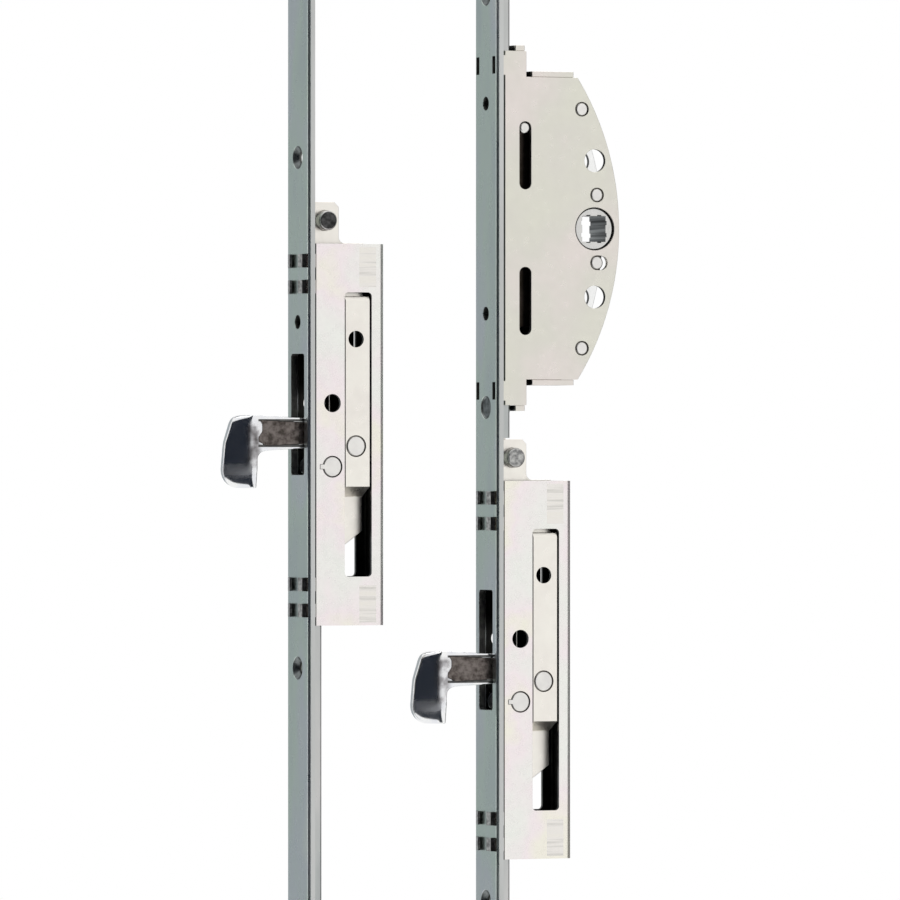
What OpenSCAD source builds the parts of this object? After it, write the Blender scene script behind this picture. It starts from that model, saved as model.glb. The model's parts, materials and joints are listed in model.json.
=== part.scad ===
// Window espagnolette, shown as its two lengths side by side, locked.
// The main length has the gearbox that a handle turns, and a swinging hook.
// The top length couples onto its upper end, and has a second, like hook.
//
// Origin: on the axis of the handle spindle, halfway through the gearbox.
// +X runs from the forend into the sash, +Y to the far side, +Z upwards.
// Turning the spindle a quarter turn draws the rails down by the stroke,
// and the sliders in the two hook cases swing the hooks up and home.

/* [Setting out] */
// Face of the forend to the axis of the spindle
backset = 35; // [33:0.5:42]
// Between the forend faces of the two lengths as they lie side by side
length_gap = 65; // [52:1:120]
// Top end of the forends above the spindle
forend_up = 112; // [108:1:150]
// Bottom end of the forends below the pivot of the main hook
forend_below_hook = 91; // [88:1:150]
// Gap between the gearbox and the hook case below it
case_below_gearbox = 22; // [16:0.1:60]
// Spindle level down to the pivot of the top length's hook
top_hook_drop = 75; // [60:1:130]
// Outside thickness of the gearbox and of the hook cases
body_t = 13; // [12.6:0.2:14.2]

/* [Forend] */
// Width of the forend
forend_w = 16; // [16:0.5:20]
// Thickness of the forend
forend_t = 2.4; // [2:0.1:3]
// Radius on its two front edges
forend_edge_r = 1; // [0.4:0.1:1.4]
// Bore for a fixing screw
screw_d = 4.2; // [3.6:0.1:4.8]
// Width across a countersink
screw_head_d = 7.4; // [6:0.1:8]
// Plain holes between the screws
plain_hole_d = 4.4; // [3:0.1:5]
// Screw above the gearbox, from the spindle
screw_above_hub = 73.6; // [68:0.1:76]
// Plain hole above the spindle
plain_above_hub = 39.2; // [30:0.1:44]
// Plain hole below the spindle
plain_below_hub = 26.9; // [15:0.1:44]
// Screw under a hook case, from the hook's pivot
screw_below_hook = 62.8; // [56:0.1:66]
// Screw over the top length's case, from the hook's pivot
screw_above_hook = 96.4; // [90:0.1:110]
// Plain hole of the top length, above the hook's pivot
plain_above_hook = 45.1; // [40:0.1:50]
// Last screw of the top length, below the forend's end
end_screw_in = 8; // [6:0.5:20]
// Guide rivet of the main rail, past the end of the gearbox's shoulders
guide_rivet_past = 0.7; // [0.2:0.1:1.5]
// Head of the guide rivet below the forend's face
guide_rivet_in = 0.5; // [0.2:0.1:0.8]

/* [Rails] */
// Thickness of a rail
rail_t = 3.5; // [3:0.1:3.8]
// Radius on the edges of a rail
rail_edge_r = 0.8; // [0.3:0.1:1.2]
// Running gap between the forend and a rail
rail_gap = 0.3; // [0.2:0.05:0.5]
// Gap on each side of a rail inside the gearbox
rail_side_gap = 0.3; // [0.2:0.05:0.5]
// Gap around a screw in the slot of a rail
rail_slot_gap = 0.3; // [0.2:0.05:0.6]
// Main rail's top end below the end of its forend
rail_top_in = 6; // [4:0.5:8]
// Main rail's bottom end above the end of its forend, locked
rail_foot_in = 18; // [17:0.5:22]
// Coupling stud between the two lengths
coupling_d = 4; // [3:0.1:5]
// Coupling stud from the joint of the forends
coupling_in = 12; // [11:0.5:13]
// Joggled end of the top rail, past the joint of the forends
coupling_end = 17; // [16:0.5:20]

/* [Gearbox] */
// Thickness of the gearbox plates
plate_t = 1.3; // [1:0.1:1.4]
// Half height of the gearbox plates
gearbox_half = 47.6; // [47.4:0.1:48.5]
// Half height of the plates' shoulders behind the forend
shoulder_half = 55.7; // [54.5:0.1:56]
// Gap between the forend and the plates' front edges
plate_gap = 1.2; // [0.2:0.1:1.6]
// Depth of the shoulders, from the forend's face
shoulder_depth = 11.1; // [10.9:0.1:12]
// Spindle axis to the back edge of the plates
back_edge = 8.6; // [7.6:0.1:9]
// Radius of the curved back edge
back_r = 85; // [80:1:110]
// Thickness of the rims of the case at its ends
rim_t = 1.8; // [1:0.1:1.9]
// Front end of the long rims, from the forend's face
rim_front = 13.2; // [12.6:0.1:15]
// Handle screws, from centre to centre
handle_pitch = 43; // [40:0.5:43.5]
// Bore for a handle screw
handle_bore = 7.2; // [6:0.1:7.6]
// Outer rivets above and below the spindle
rivet_far = 37.7; // [36:0.1:38.5]
// Outer rivets forward of the spindle
rivet_fore = 4.5; // [3.5:0.1:7]
// Inner rivets above and below the spindle
rivet_near = 10.7; // [10.6:0.05:11.2]
// Inner rivets behind the spindle
rivet_aft = 0.8; // [0.8:0.05:1.4]
// Shank of a rivet
rivet_d = 3.2; // [2.6:0.1:3.3]
// Head of a rivet
rivet_head_d = 4.4; // [4:0.1:5]
// Bevel on the rim of riveted heads and pin ends
head_bevel = 0.4; // [0.2:0.05:0.5]
// The lower inner rivet's hole runs on behind it
long_hole = 1.3; // [0.2:0.1:1.6]
// Spacer tube on an outer rivet
spacer_d = 6; // [5:0.1:6.4]
// Guide slots of the rack pin, from the forend's face
guide_x = 10.7; // [10:0.1:12]
// Width of a guide slot
guide_w = 4; // [3.4:0.1:4.6]
// Inner end of a guide slot, from the spindle's level
guide_in = 12.2; // [11:0.1:13]
// Outer end of a guide slot, from the spindle's level
guide_out = 33.6; // [33.4:0.1:36]
// Stakes of the gearbox in the forend, from the spindle's level
stake_at = 51.2; // [50.2:0.1:52.4]
// Height of a stake
stake_h = 4.6; // [3:0.1:5.4]
// Stake's end below the face of the forend, in a pocket
stake_in = 1; // [0.4:0.1:1.4]
// Pocket wider than the stake, on each side
pocket_over = 0.4; // [0.1:0.1:0.6]

/* [Spindle drive] */
// Side of the square spindle hole
spindle_side = 8.1; // [7:0.1:8.4]
// Boss of the follower in the plates
boss_d = 13.4; // [13:0.1:14]
// Running gap around the boss and around pins
fit = 0.1; // [0.05:0.01:0.15]
// Boss face below the face of the plate
boss_in = 0.7; // [0.3:0.1:1]
// Module of the teeth
tooth_module = 1.25; // [1.2:0.01:1.27]
// Teeth that a whole wheel would have
wheel_teeth = 16; // [16:1:16]
// Play between the teeth
tooth_play = 0.15; // [0.1:0.01:0.3]
// Thickness of the teeth and the rack
tooth_t = 5; // [3:0.5:6]
// Rack above the spindle's level, locked
rack_up = 36; // [35.5:0.5:38]
// Rack below the spindle's level, locked
rack_down = 31; // [29:0.5:31]
// Rack pin below the outer end of its slot, locked
pin_in = 2; // [1.9:0.05:3]
// Rack pin
rack_pin_d = 3.6; // [2.6:0.1:3.8]

/* [Hook case] */
// Thickness of the folded sheet
sheet_t = 1.2; // [1:0.1:1.3]
// Gap between the forend and the case's front edges
case_gap = 0.9; // [0.2:0.1:1.4]
// Back of the case, from the forend's face
case_back = 27.1; // [26.3:0.1:30]
// Outside radius of the two bends
bend_r = 2; // [1.5:0.1:3]
// Case above the pivot
case_up = 69.5; // [68:0.5:71]
// Case below the pivot
case_down = 49.5; // [48:0.5:54]
// Pivot of the hook, from the forend's face
pivot_x = 9; // [8.9:0.05:9.3]
// Pivot pin
pivot_d = 6; // [5:0.1:6]
// Head of the pivot in the sheet
pivot_head_d = 6.6; // [6.4:0.1:7]
// Fixing hole above the pivot
fixing_up = 19.8; // [16:0.1:26]
// Width of the fixing hole
fixing_d = 5.7; // [4:0.1:6]
// Upper pair of case tabs above the pivot
tabs_up = 60.1; // [58:0.1:62]
// Lower pair of case tabs below the pivot
tabs_down = 40.7; // [39:0.1:43]
// Between the two tabs of a pair
tab_pitch = 8.1; // [6.5:0.1:9]
// Height of a tab
tab_h = 4.2; // [3.4:0.1:5]
// Closed end of a tab, laid inwards over the forend
tab_over = 2.4; // [1.6:0.1:3.4]
// Thickness of the hammered end
tab_flat_t = 0.8; // [0.5:0.1:1.1]
// Angle at which the closed end still stands off
tab_lean = 12; // [4:1:25]
// The tab's slot runs on outside it
tab_slot_over = 1; // [0.1:0.1:1.1]

/* [Slider] */
// Front edge of the slider, from the forend's face
slider_x = 13.5; // [13.2:0.05:14]
// Width of the slider's two plates
slider_w = 8.25; // [8:0.05:9]
// Slider above the pivot, locked
slider_up = 53.1; // [52.8:0.1:54]
// Ends of the slider's plates below the pivot, locked
slider_down = 6.2; // [4:0.1:7]
// Height of the sloped shoulder under them
slope_h = 3.1; // [2:0.1:4]
// Gap between the slider and the front side of its window
window_gap = 0.3; // [0.1:0.05:0.4]
// Gap between the slider and the back side of its window
window_behind = 0.7; // [0.1:0.05:1]
// Window above the slider, locked
window_over = 1.3; // [0.5:0.1:2]
// Window below the slider, unlocked
window_under = 9.3; // [2:0.1:12]
// Drive pin behind the pivot
drive_x = 8.1; // [8:0.05:8.3]
// Drive pin above the pivot, locked
drive_up = 6.4; // [6.3:0.05:6.6]
// Drive pin
drive_d = 4; // [3:0.1:4.1]
// Head of the drive pin in the slider
drive_head_d = 6.6; // [5:0.1:7]
// Hole in the slider above the pivot, locked
slider_hole_up = 39.8; // [25:0.1:45]
// Width of that hole
slider_hole_d = 5.2; // [3:0.1:6]
// Thickness of the tongue
tongue_t = 2.2; // [1.6:0.1:3]
// Back edge of the tongue below the shoulder
tongue_back_h = 10.8; // [8:0.1:12]
// Front edge of the tongue below the shoulder
tongue_front_h = 20.7; // [18:0.1:22]
// Thickness of the arm above the slider
arm_t = 4; // [3:0.1:6]
// Top of the ear above the case, locked
ear_over_case = 13.1; // [8:0.1:15]
// Ear of the arm above its foot
ear_h = 12.8; // [12:0.1:13]
// Width of the ear
ear_w = 10.5; // [9:0.1:11]
// Guide pin in the ear
ear_pin_d = 6.2; // [5:0.1:6.6]
// Guide pin behind the front edge of the ear
ear_pin_x = 5.6; // [5:0.1:6]
// Guide pin above the foot of the ear
ear_pin_up = 7; // [6:0.1:8]

/* [Hook] */
// Thickness of the hook
hook_t = 9; // [7:0.1:9.4]
// Gap on each side of the hook in the forend
slot_side_gap = 0.5; // [0.3:0.05:0.8]
// Outer face of the nose, from the pivot
nose_r = 35.1; // [33:0.1:35.2]
// Inner face of the nose, from the pivot
nose_in = 24.6; // [23:0.1:25.5]
// Tip of the nose below the pivot
nose_down = 6.7; // [5:0.1:6.7]
// Thickness left at the outer face of the nose
nose_edge_t = 2.6; // [1.6:0.1:4]
// Width of the full-thickness land on the nose
land_w = 2.7; // [2:0.1:4]
// Thickness at the tip of the nose
nose_tip_t = 7; // [3:0.1:8]
// Foot of the forend's slot below the pivot
hook_slot_down = 2.6; // [1:0.1:6]
// Top of the arm above the pivot
hook_top = 16.1; // [15:0.1:16.2]
// Depth of the arm at the nose
hook_arm_h = 11.3; // [10:0.1:11.6]
// Narrowing of the arm towards the pivot, above and below
hook_taper = 0.9; // [0.5:0.1:1.2]
// Hub around the pivot
hook_hub_r = 6.3; // [5.6:0.1:6.3]
// Fillet between the arm and the nose
hook_fillet = 2.6; // [1:0.1:4]
// Depth of the cast panel in the arm's sides
panel_in = 0.8; // [0.2:0.1:1]
// Width of the rim around the panel
panel_rim = 1.5; // [1:0.1:2.5]
// Play of the drive pin in the fork, each side
fork_play = 0.75; // [0.7:0.01:0.9]

/* [Hidden] */
$fn = 48;
// Cuts run past the faces that they break through
cut = 1;
// A loose seat between pieces that stay together
seat = 0.05;
// Depth that one form of a piece runs into the next
weld = 0.5;

// Quarter turn of the follower in rail travel
pitch_r = tooth_module * wheel_teeth / 2;
stroke = pitch_r * PI / 2;
half_t = body_t / 2;
plate_in = half_t - plate_t;
sheet_in = half_t - sheet_t;
hub_hole_r = boss_d / 2 + fit;
main_hook_drop = shoulder_half + rim_t + case_below_gearbox + case_up;
forend_down = main_hook_drop + forend_below_hook;
guide_rivet_z = -shoulder_half - guide_rivet_past;

// Rails, across and through
rail_half = plate_in - rail_side_gap;
rail_front = forend_t + rail_gap;
rail_back = rail_front + rail_t;
screw_slot_w = screw_d + 2 * rail_slot_gap;

// Slider and window, from the forend's face and the pivot
slider_back = slider_x + slider_w;
slope_foot = -slider_down - slope_h;
window_top = slider_up + window_over;
window_foot = slope_foot - stroke - window_under;
lower_rail_top = -hook_hub_r - 3.2;
ear_top = case_up + ear_over_case;
ear_foot = ear_top - ear_h;
upper_rail_foot = ear_top + 0.4;
guide_pin_z = ear_foot + ear_pin_up;
rack_pin_z = guide_out - pin_in;
// The key on the pivot's heads
key_half = 0.7;
key_out = pivot_head_d / 2 + 0.9;
// Nib and lug that carry the stroke into the rails
nib_t = 3;
nib_h = 5;
lug_t = tongue_t;
lug_in = 5;
lug_h = 8;
lug_top = slope_foot - lug_in;
lug_foot = lug_top - lug_h;
rack_lug_half = 6;
// Fork of the hook, in line with the locked drive pin
fork_angle = atan2(drive_up, drive_x);
fork_shift = 0.47;
fork_half = drive_d / 2 + fork_play;
prong_t = 2.9;
tail_r = case_back - sheet_t - pivot_x - 1.3;

// Heights that the two lengths share
main_screws = [screw_above_hub, -main_hook_drop - screw_below_hook];
main_plain = [plain_above_hub, -plain_below_hub];
top_screws = [
    forend_up - end_screw_in,
    screw_above_hook - top_hook_drop,
    -top_hook_drop - screw_below_hook
];
top_plain = [plain_above_hook - top_hook_drop];
case_tabs = [for (m = [tabs_up, -tabs_down]) for (s = [-0.5, 0.5]) m + s * tab_pitch];
rivet_places = [
    [-rivet_fore, rivet_far], [-rivet_fore, -rivet_far],
    [rivet_aft, rivet_near], [rivet_aft, -rivet_near]
];

// A plate drawn as (x, z) and standing from y0 to y1
module across(y0, y1) {
    translate([0, y1, 0])
        rotate([90, 0, 0])
            linear_extrude(y1 - y0)
                children();
}

// A shape drawn as (y, z) and running from x0 to x1
module along(x0, x1) {
    translate([x0, 0, 0])
        rotate([90, 0, 90])
            linear_extrude(x1 - x0)
                children();
}

// A round bar across the part, centred on (x, z)
module pin(x, z, d, y0, y1) {
    translate([x, y1, z])
        rotate([90, 0, 0])
            cylinder(d = d, h = y1 - y0);
}

// A round end with a bevelled rim, its face at y and its body t deep
module round_end(x, z, d, y, t) {
    face_d = d - 2 * head_bevel;
    translate([x, y, z])
        rotate([y < 0 ? -90 : 90, 0, 0])
            intersection() {
                cylinder(d = d, h = t);
                cylinder(d1 = face_d, d2 = face_d + 2 * t, h = t);
            }
}

// A bar across the part with both of its ends bevelled
module bevelled_pin(x, z, d, reach) {
    pin(x, z, d, weld - reach, reach - weld);
    for (y = [-reach, reach])
        round_end(x, z, d, y, 2 * weld);
}

// A rectangle whose corners are rounded, drawn from one corner to the other
module soft_rect(x0, y0, x1, y1, r) {
    translate([x0 + r, y0])
        square([x1 - x0 - 2 * r, y1 - y0]);
    translate([x0, y0 + r])
        square([x1 - x0, y1 - y0 - 2 * r]);
    for (x = [x0 + r, x1 - r])
        for (y = [y0 + r, y1 - r])
            translate([x, y])
                circle(r);
}

// A slot with round ends, drawn upright from z0 to z1
module obround(x, z0, z1, w) {
    translate([x - w / 2, z0 + w / 2])
        square([w, z1 - z0 - w]);
    for (z = [z0 + w / 2, z1 - w / 2])
        translate([x, z])
            circle(d = w);
}

module at_main_face() {
    translate([-backset, 0, 0])
        children();
}

module at_top_face() {
    translate([-backset - length_gap, 0, 0])
        children();
}

module at_main_pivot() {
    translate([-backset, 0, -main_hook_drop])
        children();
}

module at_top_pivot() {
    translate([-backset - length_gap, 0, -top_hook_drop])
        children();
}

// Forend: a flat bar with rounded front edges, drawn from its face
module forend_bar() {
    half = forend_w / 2;
    translate([0, 0, -forend_down])
        linear_extrude(forend_up + forend_down) {
            translate([forend_edge_r, -half])
                square([forend_t - forend_edge_r, forend_w]);
            translate([0, forend_edge_r - half])
                square([forend_t, forend_w - 2 * forend_edge_r]);
            for (s = [-1, 1])
                translate([forend_edge_r, s * (half - forend_edge_r)])
                    circle(forend_edge_r);
        }
}

module countersunk_hole(z) {
    sink = (screw_head_d - screw_d) / 2;
    translate([-cut, 0, z])
        rotate([0, 90, 0])
            cylinder(d = screw_d, h = forend_t + 2 * cut);
    translate([0, 0, z])
        rotate([0, 90, 0])
            cylinder(d1 = screw_head_d, d2 = screw_d, h = sink);
}

module plain_hole(z) {
    translate([-cut, 0, z])
        rotate([0, 90, 0])
            cylinder(d = plain_hole_d, h = forend_t + 2 * cut);
}

// Slots on both sides of the forend for tabs or stakes of one height,
// as deep as given
module edge_slots(z, h, inner, outer, depth) {
    for (s = [-1, 1])
        along(-cut, depth)
            translate([s * (inner + outer) / 2, z])
                square([outer - inner + 2 * seat, h + 2 * seat], center = true);
}

// A stake's slot opens into a wider pocket in the forend's face
module stake_slots(z) {
    edge_slots(z, stake_h, plate_in, half_t, forend_t + cut);
    edge_slots(
        z, stake_h + 2 * pocket_over,
        plate_in - pocket_over, half_t + pocket_over, stake_in
    );
}

// What a hook case needs in its forend, drawn from the pivot
module case_cuts() {
    half = hook_t / 2 + slot_side_gap;
    along(-cut, forend_t + cut)
        soft_rect(-half, -hook_slot_down, half, nose_r + fit, 1);
    for (z = case_tabs)
        edge_slots(z, tab_h, sheet_in, half_t + tab_slot_over, forend_t + cut);
}

module main_forend() {
    color([0.66, 0.71, 0.69])
        at_main_face()
            difference() {
                forend_bar();
                for (z = concat(main_screws, guide_rivet_z))
                    countersunk_hole(z);
                for (z = main_plain)
                    plain_hole(z);
                for (z = [stake_at, -stake_at])
                    stake_slots(z);
                translate([0, 0, -main_hook_drop])
                    case_cuts();
            }
}

module top_forend() {
    color([0.66, 0.71, 0.69])
        at_top_face()
            difference() {
                forend_bar();
                for (z = top_screws)
                    countersunk_hole(z);
                for (z = top_plain)
                    plain_hole(z);
                translate([0, 0, -top_hook_drop])
                    case_cuts();
            }
}

// Rails: flat bars with rounded edges behind the forend
module rail_bar(z0, z1) {
    translate([0, 0, z0])
        linear_extrude(z1 - z0)
            soft_rect(rail_front, -rail_half, rail_back, rail_half, rail_edge_r);
}

// A fixing screw stands still while the rail passes it
module screw_slot(z) {
    along(rail_front - cut, rail_back + cut)
        obround(0, z - screw_slot_w / 2, z + stroke + screw_slot_w / 2, screw_slot_w);
}

// The slot in a rail that takes a nib, a lug or a key
module key_slot(z0, z1, w) {
    along(rail_front - cut, rail_back + cut)
        translate([-w / 2 - seat, z0 - seat])
            square([w + 2 * seat, z1 - z0 + 2 * seat]);
}

module main_rail_upper() {
    foot = upper_rail_foot - main_hook_drop;
    color([0.72, 0.74, 0.73])
        at_main_face()
            difference() {
                rail_bar(foot, forend_up - rail_top_in);
                for (z = [main_screws[0], guide_rivet_z])
                    screw_slot(z);
                key_slot(-rack_lug_half, rack_lug_half, tooth_t);
                key_slot(foot - cut, ear_top + nib_h - main_hook_drop, nib_t);
                translate([rail_front - cut, 0, forend_up - coupling_in])
                    rotate([0, 90, 0])
                        cylinder(d = coupling_d + 2 * fit, h = rail_t + 2 * cut);
            }
}

module main_rail_lower() {
    color([0.72, 0.74, 0.73])
        at_main_face()
            difference() {
                rail_bar(rail_foot_in - forend_down, lower_rail_top - main_hook_drop);
                screw_slot(main_screws[1]);
                translate([0, 0, -main_hook_drop])
                    key_slot(lug_foot, lug_top, lug_t);
            }
}

// Guide rivet: sunk in the forend, its collar holds the passing rail
module rail_guide_rivet() {
    shank_d = screw_d - 2 * seat;
    sunk_d = screw_head_d - 2 * guide_rivet_in - 2 * seat;
    collar_x = rail_back + fit;
    color([0.66, 0.71, 0.69])
        translate([-backset, 0, guide_rivet_z])
            rotate([0, 90, 0]) {
                translate([0, 0, guide_rivet_in])
                    cylinder(d1 = sunk_d, d2 = shank_d, h = (sunk_d - shank_d) / 2);
                translate([0, 0, guide_rivet_in + weld])
                    cylinder(d = shank_d, h = collar_x - guide_rivet_in);
                translate([0, 0, collar_x])
                    cylinder(d = 6, h = 0.8);
            }
}

// The top length's rail ends in a joggle that lies behind the main rail
module top_rail() {
    joint = -forend_down;
    step_x = rail_t + fit;
    color([0.72, 0.74, 0.73])
        at_top_face() {
            difference() {
                rail_bar(joint, lower_rail_top - top_hook_drop);
                screw_slot(top_screws[2]);
                translate([0, 0, -top_hook_drop])
                    key_slot(lug_foot, lug_top, lug_t);
            }
            across(-rail_half, rail_half)
                polygon([
                    [rail_front, joint + weld], [rail_front, joint - 1.5],
                    [rail_front + step_x, joint - rail_t - 1.5],
                    [rail_front + step_x, joint - coupling_end],
                    [rail_back + step_x, joint - coupling_end],
                    [rail_back + step_x, joint - rail_t],
                    [rail_back, joint], [rail_back, joint + weld]
                ]);
            translate([rail_front, 0, joint - coupling_in])
                rotate([0, 90, 0])
                    cylinder(d = coupling_d, h = step_x + cut);
        }
}

// Gearbox plates: shoulders behind the forend, then an arched back.
// The outline stands past the cover's flat ends by the given amount.
module plate_outline(over) {
    plate_front = forend_t + plate_gap;
    difference() {
        union() {
            translate([plate_front, -shoulder_half - over])
                square([shoulder_depth - plate_front, 2 * (shoulder_half + over)]);
            intersection() {
                translate([plate_front, -gearbox_half - over])
                    square([backset + back_edge, 2 * (gearbox_half + over)]);
                translate([backset + back_edge - back_r, 0])
                    circle(back_r, $fn = 180);
            }
        }
        translate([backset, 0])
            circle(hub_hole_r);
        for (s = [-1, 1])
            translate([backset, s * handle_pitch / 2])
                circle(d = handle_bore);
        for (p = rivet_places)
            translate([backset + p[0], p[1]])
                circle(d = rivet_head_d + 2 * fit);
        translate([backset + rivet_aft, -rivet_near])
            rotate(-90)
                obround(
                    0, -rivet_head_d / 2 - fit, rivet_head_d / 2 + fit + long_hole,
                    rivet_head_d + 2 * fit
                );
        obround(guide_x, guide_in, guide_out, guide_w);
        obround(guide_x, -guide_out, -guide_in, guide_w);
    }
}

// Stakes of a plate, spread in the forend below its face.
// Each stands on a low pad that bears on the forend's back.
module plate_stakes() {
    pad_over = 0.8;
    for (z = [stake_at, -stake_at]) {
        translate([stake_in, z - stake_h / 2])
            square([forend_t + weld - stake_in, stake_h]);
        translate([forend_t, z - stake_h / 2 - pad_over])
            square([plate_gap + weld, stake_h + 2 * pad_over]);
    }
}

module gearbox_cover() {
    color([0.88, 0.87, 0.82])
        at_main_face()
            across(-half_t, -plate_in) {
                plate_outline(0);
                plate_stakes();
            }
}

// Rims from x0 to x1, bent up past both ends of the cover at +half and -half
module end_rims(x0, x1, half) {
    rim_in = 0.4;
    for (s = [-1, 1])
        across(rim_in - half_t, plate_in)
            translate([(x0 + x1) / 2, s * (half + (rim_t + seat) / 2)])
                square([x1 - x0, rim_t - seat], center = true);
}

// The case is the far plate, with a long rim and a short one at each end
module gearbox_case() {
    arc_x = backset + back_edge - back_r;
    rim_back = arc_x + sqrt(pow(back_r, 2) - pow(gearbox_half + rim_t, 2));
    color([0.86, 0.85, 0.80])
        at_main_face() {
            across(plate_in, half_t) {
                plate_outline(rim_t);
                plate_stakes();
            }
            end_rims(rim_front, rim_back, gearbox_half);
            end_rims(rail_back + 1.2, shoulder_depth - 0.4, shoulder_half);
        }
}

module gearbox_rivets() {
    color([0.80, 0.79, 0.76])
        at_main_face()
            for (p = rivet_places) {
                pin(backset + p[0], p[1], rivet_d, -plate_in - weld, plate_in + weld);
                for (y = [-half_t, half_t])
                    round_end(backset + p[0], p[1], rivet_head_d, y, plate_t);
            }
}

// Tubes on the outer rivets hold the two plates apart
module gearbox_spacers() {
    color([0.62, 0.63, 0.62])
        at_main_face()
            for (s = [-1, 1])
                across(-plate_in, plate_in)
                    translate([backset - rivet_fore, s * rivet_far])
                        difference() {
                            circle(d = spacer_d);
                            circle(d = rivet_d + 2 * seat);
                        }
}

// Involute teeth, from the rolling of the base circle
pressure = 20;
base_r = pitch_r * cos(pressure);
tip_r = pitch_r + tooth_module;
root_r = pitch_r - 1.28 * tooth_module;
function inv(a) = tan(a) * 180 / PI - a;
function flank(r) = 90 / wheel_teeth - tooth_play * 45 / (PI * pitch_r)
    + inv(pressure) - inv(acos(min(1, base_r / r)));
function polar(r, a) = [r * cos(a), r * sin(a)];

module wheel_tooth(a) {
    radii = [root_r - 1, base_r, pitch_r, (pitch_r + tip_r) / 2, tip_r];
    polygon(concat(
        [for (i = [0:4]) polar(radii[i], a - flank(radii[i]))],
        [for (i = [4:-1:0]) polar(radii[i], a + flank(radii[i]))]
    ));
}

// Four teeth, centred a little above the line to the rack when locked
module follower_sector() {
    step = 360 / wheel_teeth;
    first = 180 - step / 2;
    last = first - 3 * step;
    intersection() {
        circle(root_r);
        polygon([
            [0, 0], polar(2 * root_r, first + 8),
            polar(2 * root_r, (first + last) / 2), polar(2 * root_r, last - 8)
        ]);
    }
    for (i = [0:3])
        wheel_tooth(first - i * step);
}

// Square hole with two shallow grooves in each wall
module spindle_hole() {
    groove_w = 1.3;
    groove_in = 0.35;
    square(spindle_side, center = true);
    for (a = [0, 90])
        rotate(a)
            for (z = [-1.9, 1.9])
                translate([0, z])
                    square([spindle_side + 2 * groove_in, groove_w], center = true);
}

module follower() {
    mid_r = hub_hole_r + 0.6;
    boss_y = half_t - boss_in;
    mid_y = plate_in - 0.15;
    color([0.70, 0.71, 0.70])
        difference() {
            union() {
                bevelled_pin(0, 0, boss_d, boss_y);
                pin(0, 0, 2 * mid_r, -mid_y, mid_y);
                across(-tooth_t / 2, tooth_t / 2)
                    follower_sector();
            }
            across(-half_t, half_t)
                spindle_hole();
        }
}

// Rack: a plate with five teeth, keyed into the main rail
module rack() {
    pitch = PI * tooth_module;
    line_x = backset - pitch_r;
    half_tooth = pitch / 4 - tooth_play / 4;
    rise = tooth_module * tan(pressure);
    fall = 1.28 * rise;
    root_x = line_x - 1.28 * tooth_module;
    color([0.36, 0.32, 0.28])
        at_main_face()
            difference() {
                across(-tooth_t / 2, tooth_t / 2) {
                    translate([rail_back, -rack_down])
                        square([root_x - rail_back, rack_up + rack_down]);
                    translate([rail_front, -rack_lug_half])
                        square([rail_back - rail_front, 2 * rack_lug_half]);
                    for (i = [0:4])
                        translate([line_x, i * pitch])
                            polygon([
                                [-1.28 * tooth_module, -half_tooth - fall],
                                [tooth_module, rise - half_tooth],
                                [tooth_module, half_tooth - rise],
                                [-1.28 * tooth_module, half_tooth + fall]
                            ]);
                }
                pin(guide_x, rack_pin_z, rack_pin_d + 2 * seat, -half_t, half_t);
            }
}

module rack_pin() {
    color([0.80, 0.79, 0.76])
        at_main_face()
            bevelled_pin(guide_x, rack_pin_z, rack_pin_d, half_t - 0.3);
}

// Hook case: one sheet folded round the back. Its tabs go through the
// forend, and their ends are hammered flat and laid inwards.
module case_tab(z) {
    end_x = -seat - tab_over * sin(tab_lean);
    end_y = sheet_in - tab_over * cos(tab_lean);
    flat_x = tab_flat_t * cos(tab_lean);
    flat_y = tab_flat_t * sin(tab_lean);
    for (s = [-1, 1])
        translate([0, 0, z - tab_h / 2])
            linear_extrude(tab_h)
                polygon([
                    [forend_t + case_gap + weld, s * sheet_in],
                    [forend_t + case_gap + weld, s * half_t],
                    [-seat, s * half_t], [-seat - flat_x, s * (sheet_in + flat_y)],
                    [end_x - flat_x, s * (end_y + flat_y)],
                    [end_x, s * end_y], [-seat, s * sheet_in]
                ]);
}

module hook_case() {
    color([0.91, 0.90, 0.89])
        difference() {
            union() {
                translate([0, 0, -case_down])
                    linear_extrude(case_up + case_down)
                        difference() {
                            case_section(case_back, half_t, bend_r);
                            case_section(case_back - sheet_t, sheet_in, bend_r - sheet_t);
                        }
                for (z = case_tabs)
                    case_tab(z);
            }
            across(-half_t - cut, half_t + cut)
                soft_rect(
                    slider_x - window_gap, window_foot,
                    slider_back + window_behind, window_top, 1.3
                );
            across(-half_t - cut, half_t + cut) {
                translate([pivot_x, 0])
                    circle(d = pivot_head_d + 2 * fit);
                translate([pivot_x - key_out - fit, -key_half - fit])
                    square([key_out, 2 * (key_half + fit)]);
            }
            across(-half_t - cut, 0)
                translate([pivot_x, fixing_up])
                    circle(d = fixing_d);
            across(0, half_t + cut)
                translate([0, fixing_up])
                    rotate(-90)
                        obround(0, pivot_x - 0.8 * fixing_d, pivot_x + fixing_d / 2, fixing_d);
        }
}

// Cross-section of the fold: straight sides, rounded at the back
module case_section(back, half, r) {
    front = forend_t + case_gap;
    translate([front, -half])
        square([back - r - front, 2 * half]);
    translate([front, r - half])
        square([back - front, 2 * (half - r)]);
    for (s = [-1, 1])
        translate([back - r, s * (half - r)])
            circle(r);
}

// Pivot: a shouldered pin, keyed in the sheet so that it can't turn
module hook_pivot() {
    color([0.86, 0.84, 0.82]) {
        pin(pivot_x, 0, pivot_d, -sheet_in - weld, sheet_in + weld);
        for (y = [-half_t, half_t])
            round_end(pivot_x, 0, pivot_head_d, y, sheet_t);
        for (y = [-half_t, sheet_in])
            across(y, y + sheet_t)
                translate([pivot_x - key_out, -key_half])
                    square([key_out, 2 * key_half]);
    }
}

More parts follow.
